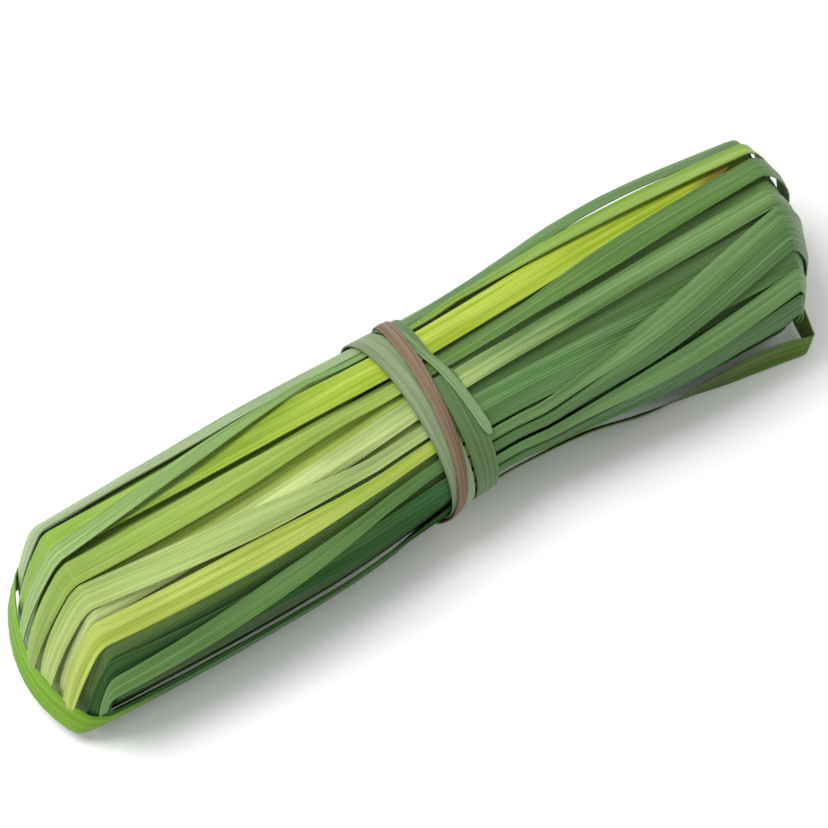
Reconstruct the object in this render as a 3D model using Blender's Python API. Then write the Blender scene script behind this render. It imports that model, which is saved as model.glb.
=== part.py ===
# A folded bundle of lemongrass leaves, tied at the waist with strips of leaf.
#
# Long leaf blades are wound lengthwise into an oblong hank that lies on its side. The X axis
# runs along the hank, Y across it, and Z is up. Each blade is one thin solid. Most run along the
# top, fold down over an end, come back along the underside and fold up over the other end. In
# each layer one blade goes round the two sides instead, inside the folds of the others. The
# layers are nested, so that no two blades meet. Narrow blades cross over the outermost ones.

import math
import random

import bpy
import bmesh
from mathutils import Vector

# Driving dimensions, in metres
HALF_WIDTH = 0.0320        # half the hank's width, across Y
HALF_HEIGHT = 0.0235       # half its height before its underside is flattened
AXIS_HEIGHT = 0.0200       # height of its axis above the surface that it lies on
LEFT_RIM = 0.1170          # where the outermost blades fold over the left end
RIGHT_RIM = 0.1240         # and over the right end
LEAF_THICK = 0.0007        # a blade's thickness, with its rib
FLAT_UNDERSIDE = -0.6      # below this sine of its angle, a blade lies flat
CREASE_START = 0.042       # under the tie a blade is pressed flat, and creased from here on
TIE_THICK = 0.00065        # thickness of a strip of the tie
TIE_CLEAR = 0.0006         # between the outermost blades and the tie
TIE_STEP = 0.00095         # from one wrap of the tie to the wrap over it

# The hank's shape along its length
WAIST_AT = 0.012           # the hank is narrowest here, right of the tie's middle
WAIST_LEFT = 0.075         # the waist's pull fades out this far left of there
WAIST_RIGHT = 0.090        # and this far right of there
WAIST_PULL = 0.10          # how much the tie draws the hank in
WAIST_SHIFT = 0.0012       # how far it draws the hank towards the far side
WAIST_ARCH = 0.0020        # how far the underside arches up at the tie
ARCH_FADE = 0.025          # height at which that arch has faded out
DOME_START = 0.075         # from here on the ends are rounded
DOME_LEFT = 0.009          # how far the left end is domed
DOME_RIGHT = 0.0125        # and the right end
BEND = 0.0040              # the tied middle lies this far behind the ends
FLARE = 0.050              # how much larger the hank is at its right end than at the tie
NARROW_LEFT = 0.09         # how much narrower its left end is, on top of that
NARROW_RIGHT = 0.07        # and its right end
LEFT_RISE = 0.0055         # how far the left end bends towards the far side
LEFT_LEAN = 0.475          # how far the left end leans back, for its height
LEFT_BULGE = 11.0          # how much more it does so below its middle, and less above, per metre
LEFT_SLANT = 0.12          # how far its near side outreaches the far one
RIGHT_SLANT = 0.38         # how far the far side outreaches the near one at the right end
HALF_LENGTH = 0.130        # nominal, for the bend, the flare and the twist

# Each blade is drawn through these places along X
SIDE_STATIONS = (0.009, 0.020, 0.042, 0.066, 0.095)
STATION_CLEAR = 0.004      # a place nearer than this to an end of a run is left out
TIE_JOIN = -0.0045         # under the tie's pale strip, where the blades' ends meet
RIGHT_START = TIE_JOIN + 0.0015    # a blade that runs to the right starts here
LEFT_START = TIE_JOIN - 0.0015     # and one that runs to the left here
SWAY_LENGTH = 0.095        # half a wave of the layers' sideways sway
LIFT_MIDDLE = 0.080        # an arched blade is highest this far from the tie
LIFT_REACH = 0.050         # and it is off the hank this far to either side of there
TIP_TAPER = 0.035          # length of a blade's tapered tip
TIE_ANGLE_STEP = 12        # degrees between the stations of the tie

# Folds over the ends
FOLD_STEPS = 2             # facets of a fold
END_STEPS = 5              # facets of the run across an end
OUTER_FOLD = 0.0032        # radius of the outermost blades' folds
LAYER_FOLD = 0.0024        # radius of the layers' folds
FIRST_LAYER_END = 0.0020   # the first layer's folds lie this far inside the rim
LAYER_END_STEP = 0.0033    # from one layer's folds to the next layer's
SIDE_BLADE_END = 0.00175   # a side blade crosses the end this far inside its layer's folds

# Layers inside the outermost one: depth, number of blades over the top, twist over half the
# length in degrees, and half of a lane as a share of its spacing
LAYERS = (
    (0.0020, 7, -5.0, 0.42),
    (0.0040, 6, 4.0, 0.42),
    (0.0065, 5, -4.0, 0.40),
    (0.0090, 4, 3.0, 0.38),
    (0.0120, 3, -2.0, 0.37),
    (0.0150, 3, 2.0, 0.36),
)
SIDE_LANE = 16.0           # the blades over the top keep this far, in degrees, from the sides
SIDE_HALF = 12.0           # half of a side blade, in degrees
SIDE_BLADE_LAYERS = 5      # the innermost layer has no blade round its sides
LAYER_SEED = 7

# Narrow blades that cross over the outermost ones. Each rises out of a gap between them beside
# the tie, and its free tip hangs down over an end.
CROSSING_RISE = 0.0018     # how far it lies above them
CROSSING_FROM = 0.0140     # where it begins to rise, from the tie
CROSSING_UP = 0.0270       # where it is up, and begins to cross
CROSSING_WIDE = 0.070      # where it has its full width
CROSSING_GROWTH = 0.45     # how much wider it is there than in its gap
CROSSING_HANG = 0.92       # share of the end that its tip hangs down
CROSSING_TIP = 0.6         # width of its tip, as a share
HANG_STEPS = 3             # facets of the part that hangs down
WRAP_OUT = 0.0030          # how far outside the left rim the wrapping leaf crosses that end
CROSSING = (
    # end, degrees at the tie and at the end, half of its width in degrees, lift in metres, colour
    ("right", 53.0, 60.0, 3.5, 0.0012, "mid"),
    ("right", 91.0, 77.0, 4.0, 0.0004, "dark"),
    ("right", 145.0, 108.0, 3.5, 0.0010, "grey_green"),
    ("right", 154.0, 121.0, 3.5, 0.0006, "mid"),
    ("right", 165.0, 146.0, 4.0, 0.0004, "pale"),
    ("right", 176.0, 163.0, 4.0, 0.0, "mid"),
    ("left", 55.0, 80.0, 3.0, 0.0008, "yellow_green"),
    ("left", 91.0, 92.0, 4.0, 0.0, "pale"),
    ("left", 121.0, 105.0, 4.0, 0.0010, "grey_green"),
    ("left", 131.0, 128.0, 4.0, 0.0004, "yellow_green"),
    ("left", 144.0, 166.0, 4.0, 0.0006, "mid"),
)

# Colours by eye
COLOURS = {
    "lime": (0.40, 0.60, 0.03),
    "yellow_green": (0.34, 0.50, 0.07),
    "pale": (0.45, 0.58, 0.22),
    "grey_green": (0.36, 0.50, 0.25),
    "bright": (0.20, 0.45, 0.05),
    "mid": (0.12, 0.28, 0.07),
    "dark": (0.05, 0.15, 0.05),
    "olive": (0.18, 0.20, 0.05),
    "tie_brown": (0.35, 0.25, 0.14),
    "tie_pale": (0.30, 0.40, 0.21),
    "tie_green": (0.22, 0.38, 0.15),
}
LEAF_ROUGHNESS = 0.5


def clear_scene():
    for item in list(bpy.data.objects):
        bpy.data.objects.remove(item, do_unlink=True)


def make_material(name, colour):
    material = bpy.data.materials.new(name)
    material.use_nodes = True
    shader = material.node_tree.nodes["Principled BSDF"]
    shader.inputs["Base Color"].default_value = (colour[0], colour[1], colour[2], 1.0)
    shader.inputs["Roughness"].default_value = LEAF_ROUGHNESS
    shader.inputs["Metallic"].default_value = 0.0
    return material


def slide(value, start, stop):
    """0 before start, 1 after stop, and an even slope between. stop may be below start."""
    return min(max((value - start) / (stop - start), 0.0), 1.0)


# The hank before it is bent: ovals of a given depth, flattened where they meet the surface

def oval_point(x, degrees, depth):
    """A point of the oval at this depth. 0 degrees is the far side, 90 the top."""
    angle = math.radians(degrees)
    y = (HALF_WIDTH - depth) * math.cos(angle)
    z = AXIS_HEIGHT + (HALF_HEIGHT - depth) * math.sin(angle)
    return Vector((x, y, max(z, depth)))


def hank_shape(point):
    """Turns a place in the straight hank into its place in the real one."""
    x, y, z = point
    reach = min(abs(x - WAIST_AT) / (WAIST_LEFT if x < WAIST_AT else WAIST_RIGHT), 1.0)
    waist = (1.0 - reach * reach) ** 4
    dome = 1.0 - (y / HALF_WIDTH) ** 2 - ((z - AXIS_HEIGHT) / HALF_HEIGHT) ** 2
    dome = max(dome, 0.0)
    along = slide(abs(x), DOME_START, LEFT_RIM)
    swell = DOME_LEFT if x < 0 else DOME_RIGHT
    share = x / HALF_LENGTH
    new_x = x + math.copysign(swell * dome * along ** 3, x)
    steep = abs(share) ** 3
    if x < 0:
        above = z - AXIS_HEIGHT
        new_x += (LEFT_LEAN * above - LEFT_BULGE * above * above + LEFT_SLANT * y) * steep
        narrow = 1.0 - NARROW_LEFT * share ** 4
        bend = BEND * (1.0 - share ** 2) + LEFT_RISE * steep
    else:
        new_x += RIGHT_SLANT * y * steep
        narrow = 1.0 - NARROW_RIGHT * share ** 4
        bend = BEND * (1.0 - share ** 2)

    pull = 1.0 - WAIST_PULL * waist
    flare = 1.0 + FLARE * share
    new_y = y * pull * flare * narrow + bend + WAIST_SHIFT * waist
    new_z = AXIS_HEIGHT + (z - AXIS_HEIGHT) * pull
    new_z = new_z * flare + WAIST_ARCH * waist * max(1.0 - z / ARCH_FADE, 0.0)
    return Vector((new_x, new_y, new_z))


# Ribbons: a grid of points, one row for each station and one column for each rail

def ribbon_normals(grid, guide):
    """The ribbon's normal at each point, on the side that guide(row, column) is on."""
    rows = len(grid)
    columns = len(grid[0])
    normals = []
    for i in range(rows):
        row = []
        for j in range(columns):
            before = grid[max(i - 1, 0)][j]
            after = grid[min(i + 1, rows - 1)][j]
            left = grid[i][max(j - 1, 0)]
            right = grid[i][min(j + 1, columns - 1)]
            normal = (after - before).cross(right - left).normalized()
            if normal.dot(guide[i][j]) < 0:
                normal = -normal
            row.append(normal)
        normals.append(row)
    return normals


def ribbon_mesh(name, grid, guide, thickness, shape=hank_shape):
    """A closed blade: the grid is its outer face, and its inner face lies towards guide."""
    normals = ribbon_normals(grid, guide)
    rows = len(grid)
    columns = len(grid[0])
    mesh = bmesh.new()
    outer = []
    inner = []
    for i in range(rows):
        outer.append([mesh.verts.new(shape(p)) for p in grid[i]])
        backs = [grid[i][j] + normals[i][j] * thickness for j in range(columns)]
        inner.append([mesh.verts.new(shape(p)) for p in backs])
    for i in range(rows - 1):
        for j in range(columns - 1):
            for face in (outer, inner):
                mesh.faces.new((face[i][j], face[i + 1][j], face[i + 1][j + 1]))
                mesh.faces.new((face[i][j], face[i + 1][j + 1], face[i][j + 1]))
        for j in (0, columns - 1):
            mesh.faces.new((outer[i][j], outer[i + 1][j], inner[i + 1][j]))
            mesh.faces.new((outer[i][j], inner[i + 1][j], inner[i][j]))
    for i in (0, rows - 1):
        for j in range(columns - 1):
            mesh.faces.new((outer[i][j], outer[i][j + 1], inner[i][j + 1]))
            mesh.faces.new((outer[i][j], inner[i][j + 1], inner[i][j]))
    bmesh.ops.recalc_face_normals(mesh, faces=mesh.faces[:])
    data = bpy.data.meshes.new(name)
    mesh.to_mesh(data)
    mesh.free()
    return data


def add_blade(name, data, colour):
    data.materials.append(materials[colour])
    data.shade_smooth()
    data.set_sharp_from_angle(angle=math.radians(40))
    blade = bpy.data.objects.new(name, data)
    bundle.objects.link(blade)
    return blade


# Legs: a blade's run along one side of the hank, from one place along X to another

class Leg:
    """One run. Its middle line is at the given degrees at the left end, the tie and the right."""

    def __init__(self, start, stop, left, tie, right, half, lift=0.0, lift_at=LIFT_MIDDLE, tip=None,
                 sway=0.0):
        self.start = start
        self.stop = stop
        self.left = left
        self.tie = tie
        self.right = right
        self.half = half
        self.lift = lift
        self.lift_at = lift_at
        self.tip = tip
        self.sway = sway

    def middle(self, x):
        share = min(abs(x) / HALF_LENGTH, 1.0)
        end = self.left if x < 0 else self.right
        drift = self.sway * math.sin(math.pi * x / SWAY_LENGTH)
        return self.tie + (end - self.tie) * share + drift

    def raised(self, x):
        away = min(abs(x - self.lift_at) / LIFT_REACH, 1.0)
        return self.lift * (1.0 - away * away) ** 2

    def half_width(self, x):
        if self.tip is None:
            return self.half
        from_tip = min(abs(x - self.tip) / TIP_TAPER, 1.0)
        return self.half * (0.3 + 0.7 * math.sqrt(from_tip))

    def mirrored(self, start, stop, half=None):
        """The run below this one, along the underside."""
        return Leg(start, stop, 360.0 - self.left, 360.0 - self.tie, 360.0 - self.right,
                   half or self.half, sway=-self.sway)


class CrossingLeg(Leg):
    """The run of a crossing blade: it rises out of its gap, and only then turns aside."""

    def middle(self, x):
        end = self.left if x < 0 else self.right
        return self.tie + (end - self.tie) * slide(abs(x), CROSSING_UP, HALF_LENGTH)

    def raised(self, x):
        return super().raised(x) + CROSSING_RISE * slide(abs(x), CROSSING_FROM, CROSSING_UP)

    def half_width(self, x):
        return self.half * (1.0 + CROSSING_GROWTH * slide(abs(x), CROSSING_UP, CROSSING_WIDE))


def rail_shares(rails):
    """Where the rails lie across a blade, from -1 at one edge to 1 at the other."""
    return [-1.0 + 2.0 * j / (rails - 1) for j in range(rails)]


def side_row(x, leg, flip, depth, rails, fold):
    """One station on a side: its points and the way in."""
    points = []
    ways_in = []
    for share in rail_shares(rails):
        degrees = leg.middle(x) + flip * share * leg.half_width(x)
        crease = fold * (1.0 - abs(share)) * min(abs(x) / CREASE_START, 1.0)
        if math.sin(math.radians(degrees)) < FLAT_UNDERSIDE:
            crease = 0.0
        points.append(oval_point(x, degrees, depth - leg.raised(x) + crease))
        angle = math.radians(degrees)
        ways_in.append(Vector((0.0, -math.cos(angle), -math.sin(angle))))
    return points, ways_in


def leg_stations(start, stop):
    """The stations between two places, in order of travel, without the two places."""
    places = [x for station in SIDE_STATIONS for x in (station, -station)]
    low, high = sorted((start, stop))
    inside = [x for x in places if low + STATION_CLEAR < x < high - STATION_CLEAR]
    return sorted(inside, reverse=start > stop)


def turn_rows(leg_in, leg_out, side, rim, radius, depth, rails):
    """The stations over an end: a bend, the run across the end and a second bend."""
    x_bend = side * (rim - radius)
    into = side_row(x_bend, leg_in, 1.0, depth, rails, 0.0)
    out = side_row(x_bend, leg_out, -1.0, depth, rails, 0.0)
    rows = []
    bend_angles = [math.pi / 2 * k / FOLD_STEPS for k in range(FOLD_STEPS + 1)]

    def bend_row(here, there, angle):
        points = []
        ways_in = []
        for j in range(rails):
            across = (there[0][j] - here[0][j]).normalized()
            travel = across * (radius * (1.0 - math.cos(angle)))
            shift = Vector((side * radius * math.sin(angle), 0.0, 0.0))
            points.append(here[0][j] + travel + shift)
            ways_in.append(here[1][j] * math.cos(angle) - Vector((side, 0.0, 0.0)) * math.sin(angle))
        return points, ways_in

    for angle in bend_angles:
        rows.append(bend_row(into, out, angle))
    first = bend_row(into, out, math.pi / 2)
    last = bend_row(out, into, math.pi / 2)
    for k in range(1, END_STEPS):
        share = k / END_STEPS
        points = [first[0][j].lerp(last[0][j], share) for j in range(rails)]
        rows.append((points, first[1]))
    for angle in reversed(bend_angles):
        rows.append(bend_row(out, into, angle))
    return rows


def wound_blade(name, legs, depth, rims, radius, rails, colour, fold=0.0):
    """A blade along its legs, over the hank's ends between them. rims is (left, right)."""
    grid = []
    guide = []
    flip = 1.0

    def add(row):
        grid.append(row[0])
        guide.append(row[1])

    for index, leg in enumerate(legs):
        left_stop = -(rims[0] - radius)
        right_stop = rims[1] - radius
        start = left_stop if leg.start == "left" else right_stop if leg.start == "right" else leg.start
        stop = left_stop if leg.stop == "left" else right_stop if leg.stop == "right" else leg.stop
        if leg.start not in ("left", "right"):
            add(side_row(start, leg, flip, depth, rails, fold))
        for x in leg_stations(start, stop):
            add(side_row(x, leg, flip, depth, rails, fold))
        if leg.stop not in ("left", "right"):
            add(side_row(stop, leg, flip, depth, rails, fold))
        if index + 1 < len(legs):
            side = -1.0 if leg.stop == "left" else 1.0
            rim = rims[0] if side < 0 else rims[1]
            turn = turn_rows(leg, legs[index + 1], side, rim, radius, depth, rails)
            if flip < 0:
                turn = [(points[::-1], ways_in[::-1]) for points, ways_in in turn]
            for row in turn:
                add(row)
            flip = -flip
    data = ribbon_mesh(name, grid, guide, LEAF_THICK)
    return add_blade(name, data, colour)


# The outermost layer: single leaves that stand out in the bundle

def outer_blade(name, legs, colour, fold, left_in=0.0, right_in=0.0):
    """left_in and right_in: how far inside the rims the blade folds."""
    rims = (LEFT_RIM - left_in, RIGHT_RIM - right_in)
    wound_blade(name, legs, 0.0, rims, OUTER_FOLD, 3, colour, fold=fold)


def outer_leaves():
    # The broad lime leaf: its tip is at the right end, and it goes round the left end
    lime = Leg(0.116, "left", 64, 72, 64, 11.0, tip=0.116)
    outer_blade("leaf_lime", [lime, lime.mirrored("left", 0.100)], "lime", 0.0003, left_in=0.0003)

    # The pale leaf that is rolled in at its edges, round both ends
    rolled = Leg("left", "right", 117, 106, 97, 6.5)
    outer_blade(
        "leaf_rolled_pale",
        [rolled.mirrored(LEFT_START, "left"), rolled, rolled.mirrored("right", RIGHT_START)],
        "pale", -0.0006, left_in=0.0006, right_in=0.0004)

    # The leaf along the far side of the left half
    far = Leg(LEFT_START, "left", 38, 42, 42, 9.0)
    outer_blade("leaf_far_left", [far, far.mirrored("left", LEFT_START)], "grey_green", 0.0002)

    # The leaf that arches off the far side, near the right end
    arched = Leg(RIGHT_START, "right", 38, 38, 42, 10.0, lift=0.0035)
    outer_blade("leaf_arched", [arched, arched.mirrored("right", RIGHT_START)], "mid", -0.0004)

    # The wide dark leaf that goes over the right end
    dark = Leg(RIGHT_START, "right", 128, 128, 132, 11.0)
    outer_blade("leaf_wide_dark", [dark, dark.mirrored("right", RIGHT_START, half=9.0)], "mid",
                0.0003)

    # The green leaf low on the near side, left of the tie
    green = Leg(LEFT_START, "left", 154, 163, 163, 9.0)
    outer_blade("leaf_near_green", [green, green.mirrored("left", LEFT_START)], "mid", 0.0003,
                left_in=0.0003)

    # The bright leaf that goes round the outside of the left end, over the others' folds
    near = CrossingLeg(LEFT_START, "left", 205, 214, 214, 5.5)
    far = CrossingLeg("left", LEFT_START, 335, 338, 338, 5.5)
    rims = (LEFT_RIM + WRAP_OUT, RIGHT_RIM)
    wound_blade("leaf_end_wrap", [near, far], 0.0, rims, OUTER_FOLD + WRAP_OUT, 3, "bright")


def crossing_leaves():
    rails = 3
    radius = OUTER_FOLD + CROSSING_RISE
    for index, (end, at_tie, at_end, half, lift, colour) in enumerate(CROSSING, start=1):
        side = -1.0 if end == "left" else 1.0
        rim = CROSSING_RISE + (LEFT_RIM if side < 0 else RIGHT_RIM)
        lift_at = side * LIFT_MIDDLE
        start = LEFT_START if side < 0 else RIGHT_START
        leg = CrossingLeg(start, end, at_end, at_tie, at_end, half, lift=lift, lift_at=lift_at)
        below = CrossingLeg(end, start, 360.0 - at_end, 360.0 - at_tie, 360.0 - at_end, half)
        places = [start] + [side * x for x in (CROSSING_FROM, CROSSING_UP) + SIDE_STATIONS[2:]]
        rows = [side_row(x, leg, 1.0, 0.0, rails, 0.0) for x in places]
        turn = turn_rows(leg, below, side, rim, radius, 0.0, rails)
        bend = turn[:FOLD_STEPS + 1]
        top, foot = bend[-1][0], turn[-FOLD_STEPS - 1][0]
        rows += bend
        for k in range(1, HANG_STEPS + 1):
            share = k / HANG_STEPS
            width = 1.0 - (1.0 - CROSSING_TIP) * share ** 2
            row = [a.lerp(b, CROSSING_HANG * share) for a, b in zip(top, foot)]
            rows.append(([row[1].lerp(point, width) for point in row], bend[-1][1]))
        data = ribbon_mesh(f"leaf_crossing_{index}", [row[0] for row in rows],
                           [row[1] for row in rows], LEAF_THICK)
        add_blade(f"leaf_crossing_{index}", data, colour)


# The leaf that springs loose beside the right end and lies out on the surface. The first
# stations follow the hank's side. The others are given by the lower and the upper edge of the
# blade, because it stands on its edge there and leans.
LOOP_SIDE = ((RIGHT_START, 202.0), (0.009, 202.5), (0.020, 204.0), (0.042, 209.0))
LOOP_HALF = 6.0
LOOP_FREE = (
    ((0.0620, -0.0222, 0.0026), (0.0615, -0.0263, 0.0084)),
    ((0.0800, -0.0245, 0.0005), (0.0795, -0.0262, 0.0066)),
    ((0.0910, -0.0272, 0.0005), (0.0915, -0.0264, 0.0066)),
    ((0.1005, -0.0290, 0.0005), (0.1020, -0.0264, 0.0062)),
    ((0.1115, -0.0310, 0.0005), (0.1125, -0.0282, 0.0062)),
    ((0.1175, -0.0322, 0.0005), (0.1180, -0.0305, 0.0068)),
    ((0.1200, -0.0315, 0.0005), (0.1212, -0.0316, 0.0072)),
    ((0.1212, -0.0285, 0.0005), (0.1227, -0.0288, 0.0072)),
    ((0.1230, -0.0225, 0.0005), (0.1252, -0.0232, 0.0070)),
    ((0.1250, -0.0175, 0.0005), (0.1275, -0.0182, 0.0066)),
)


def loop_leaf():
    grid = []
    for x, middle in LOOP_SIDE:
        places = [middle - share * LOOP_HALF for share in rail_shares(3)]
        grid.append([hank_shape(oval_point(x, degrees, 0.0)) for degrees in places])
    for low, high in LOOP_FREE:
        grid.append([Vector(low).lerp(Vector(high), share) for share in (0.0, 0.5, 1.0)])
    guide = []
    for index, row in enumerate(grid):
        before = grid[max(index - 1, 0)][1]
        after = grid[min(index + 1, len(grid) - 1)][1]
        heading = after - before
        guide.append([Vector((-heading.y, heading.x, 0.0))] * 3)
    data = ribbon_mesh("leaf_loop", grid, guide, LEAF_THICK, shape=Vector)
    add_blade("leaf_loop", data, "olive")


# The layers inside: each blade goes once round, with its two ends caught under the tie

def inner_leaves():
    rng = random.Random(LAYER_SEED)
    palette = ("yellow_green", "mid", "grey_green", "dark", "mid", "bright", "pale", "dark")
    for number, (depth, count, twist, fill) in enumerate(LAYERS, start=1):
        spacing = (180.0 - 2.0 * SIDE_LANE) / count
        sway = rng.uniform(-2.5, 2.5)
        end = FIRST_LAYER_END + LAYER_END_STEP * (number - 1)
        rails = 3 if number == 1 else 2

        def add(index, top, inset, fold):
            legs = [top, top.mirrored("right", "left"), Leg("left", LEFT_START, top.left, top.tie,
                    top.right, top.half, sway=top.sway)]
            rims = (LEFT_RIM - inset, RIGHT_RIM - inset)
            colour = palette[(index + 3 * number) % len(palette)]
            wound_blade(f"leaf_layer{number}_{index}", legs, depth, rims, LAYER_FOLD, rails, colour,
                        fold=fold)

        for k in range(count):
            middle = SIDE_LANE + (k + 0.5) * spacing
            fold = rng.uniform(0.0, 0.0004) if number == 1 else 0.0
            inset = end + rng.uniform(0.0, 0.0004)
            add(k + 1, Leg(RIGHT_START, "right", middle - twist, middle, middle + twist,
                           spacing * fill, sway=sway), inset, fold)
        if number <= SIDE_BLADE_LAYERS:
            near = Leg(RIGHT_START, "right", 180.0, 180.0, 180.0, SIDE_HALF)
            far = Leg("right", "left", 0.0, 0.0, 0.0, SIDE_HALF)
            back = Leg("left", LEFT_START, 180.0, 180.0, 180.0, SIDE_HALF)
            inset = end + SIDE_BLADE_END
            colour = palette[(count + 1 + 3 * number) % len(palette)]
            wound_blade(f"leaf_layer{number}_{count + 1}", [near, far, back], depth,
                        (LEFT_RIM - inset, RIGHT_RIM - inset), LAYER_FOLD, rails, colour)


# The tie: strips of leaf wound round the waist, over all the blades

def tie_strip(name, degrees, place, level, width, colour):
    """A strip through the given degrees. place, level and width give its middle along X, its
    wrap number and its width at each."""
    grid = []
    guide = []
    for angle_degrees in degrees:
        out = TIE_CLEAR + TIE_THICK + TIE_STEP * level(angle_degrees)
        angle = math.radians(angle_degrees)
        half = width(angle_degrees) / 2
        crown = 0.0001
        row = []
        for share in rail_shares(3):
            x = place(angle_degrees) + share * half
            row.append(oval_point(x, angle_degrees, -out - crown * (1.0 - abs(share))))
        grid.append(row)
        guide.append([Vector((0.0, -math.cos(angle), -math.sin(angle)))] * 3)
    data = ribbon_mesh(name, grid, guide, TIE_THICK)
    add_blade(name, data, colour)


def degree_steps(start, stop):
    """Start, stop, and the whole steps between. All strips share these steps, so they nest."""
    low, high = sorted((start, stop))
    first = math.ceil((low + 1.0) / TIE_ANGLE_STEP)
    last = math.floor((high - 1.0) / TIE_ANGLE_STEP)
    inside = [float(k * TIE_ANGLE_STEP) for k in range(first, last + 1)]
    places = [low] + inside + [high]
    return places if start < stop else places[::-1]


def tie():
    def slant(d):
        """Both inner strips lean this way: their tops on the far side lie further right."""
        return 0.0015 * math.cos(math.radians(d - 24.0))

    # The pale strip, innermost, whose ends meet under the hank
    tie_strip(
        "tie_pale", degree_steps(-88.0, 268.0),
        lambda d: -0.0042 + slant(d),
        lambda d: 0.0, lambda d: 0.0080, "tie_pale")

    # The green strip: its narrow free end lies over its own first turn and the leaves
    tie_strip(
        "tie_green", degree_steps(142.0, -262.0),
        lambda d: 0.0046 + slant(d) + 0.0040 * slide(d, 80.0, 142.0),
        lambda d: slide(d, 84.0, 96.0),
        lambda d: 0.0076 - 0.0046 * slide(d, 40.0, 80.0), "tie_green")

    # The dry brown strip, which crosses over both on a slant
    tie_strip(
        "tie_brown", degree_steps(-60.0, 282.0),
        lambda d: 0.0060 - 0.0150 * (d - 24.0) / 180.0,
        lambda d: 1.0, lambda d: 0.0058 - 0.0018 * slide(d, 60.0, 200.0), "tie_brown")


def centre_bundle():
    """Moves the model so that its box is centred on X and Y and stands on Z = 0."""
    corners = [v.co for item in bundle.objects for v in item.data.vertices]
    low = [min(c[axis] for c in corners) for axis in range(3)]
    high = [max(c[axis] for c in corners) for axis in range(3)]
    shift = Vector((-(low[0] + high[0]) / 2, -(low[1] + high[1]) / 2, -low[2]))
    for item in bundle.objects:
        for vertex in item.data.vertices:
            vertex.co += shift
    print("shift in mm", [round(s * 1000, 3) for s in shift])
    print("size in mm", [round((high[a] - low[a]) * 1000, 2) for a in range(3)])


clear_scene()
bundle = bpy.data.collections.new("lemongrass_bundle")
bpy.context.scene.collection.children.link(bundle)
materials = {name: make_material(name, colour) for name, colour in COLOURS.items()}
outer_leaves()
crossing_leaves()
loop_leaf()
inner_leaves()
tie()
centre_bundle()
print("nodes", len(bundle.objects), "triangles", sum(len(o.data.polygons) for o in bundle.objects))
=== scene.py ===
# %% [markdown]
# # A folded bundle of lemongrass leaves
# Long leaf blades are folded lengthwise into a hank and tied at the waist with strips of leaf.
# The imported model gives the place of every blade. This script dresses each one: it draws the
# same folding again with many more points, gives the blade its rib, veins and curl with
# Geometry Nodes, and gives it a leaf's finish.

# %% Load the frame
import math
import random

import bpy
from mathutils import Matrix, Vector


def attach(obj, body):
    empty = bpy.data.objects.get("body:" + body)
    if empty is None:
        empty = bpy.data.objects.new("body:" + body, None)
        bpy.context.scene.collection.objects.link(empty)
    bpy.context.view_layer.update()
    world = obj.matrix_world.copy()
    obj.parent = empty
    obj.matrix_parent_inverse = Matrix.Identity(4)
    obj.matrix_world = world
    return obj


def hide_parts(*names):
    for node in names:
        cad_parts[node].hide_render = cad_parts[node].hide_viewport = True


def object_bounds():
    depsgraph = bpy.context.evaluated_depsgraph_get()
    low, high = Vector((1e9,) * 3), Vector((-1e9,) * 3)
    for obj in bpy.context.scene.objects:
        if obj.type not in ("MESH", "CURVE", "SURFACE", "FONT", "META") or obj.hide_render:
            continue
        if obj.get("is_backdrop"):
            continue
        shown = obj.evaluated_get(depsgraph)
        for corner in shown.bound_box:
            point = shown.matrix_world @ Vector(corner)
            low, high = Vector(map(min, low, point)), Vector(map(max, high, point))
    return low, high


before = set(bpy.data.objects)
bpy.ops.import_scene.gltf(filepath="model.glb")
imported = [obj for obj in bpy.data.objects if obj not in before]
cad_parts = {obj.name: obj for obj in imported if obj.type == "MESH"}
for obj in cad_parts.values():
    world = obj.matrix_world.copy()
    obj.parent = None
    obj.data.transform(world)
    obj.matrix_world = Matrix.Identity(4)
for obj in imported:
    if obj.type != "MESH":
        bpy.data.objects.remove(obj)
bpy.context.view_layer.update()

MM = 0.001

# %% [markdown]
# ## The hank's shape
# Seen along its length the hank is an oval, flattened where it lies on the surface. Every blade
# runs on an oval of its own depth, so blades never meet. One function gives a place on such an
# oval in a straight hank. A second one turns the straight hank into the real one: drawn in and
# arched at the tie, domed at its ends, slightly bent, and larger to the right. Its left end
# leans back, and its right end is slanted. The numbers are the part's own. Only the whole hank
# sits a little higher, so that no ripple of a blade reaches below the floor.

# %% Ovals and the hank's shape
HALF_WIDTH = 32.0 * MM
HALF_HEIGHT = 23.5 * MM
AXIS_HEIGHT = 20.0 * MM
LEFT_RIM = 117.0 * MM
RIGHT_RIM = 124.0 * MM
WAIST_AT = 12.0 * MM
WAIST_LEFT = 75.0 * MM
WAIST_RIGHT = 90.0 * MM
WAIST_PULL = 0.10
WAIST_SHIFT = 1.2 * MM
WAIST_ARCH = 2.0 * MM
ARCH_FADE = 25.0 * MM
DOME_START = 75.0 * MM
DOME_LEFT = 9.0 * MM
DOME_RIGHT = 12.5 * MM
BEND = 4.0 * MM
FLARE = 0.050
NARROW_LEFT = 0.09
NARROW_RIGHT = 0.07
LEFT_RISE = 5.5 * MM
LEFT_LEAN = 0.475
LEFT_BULGE = 11.0          # per metre
LEFT_SLANT = 0.12
RIGHT_SLANT = 0.38
HALF_LENGTH = 130.0 * MM
RIPPLE_ROOM = 0.2 * MM
BOX_SHIFT = Vector((-3.740 * MM, -1.839 * MM, RIPPLE_ROOM))    # from the hank's axis to the origin


def oval_point(x, degrees, depth):
    angle = math.radians(degrees)
    y = (HALF_WIDTH - depth) * math.cos(angle)
    z = AXIS_HEIGHT + (HALF_HEIGHT - depth) * math.sin(angle)
    return Vector((x, y, max(z, depth)))


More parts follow.
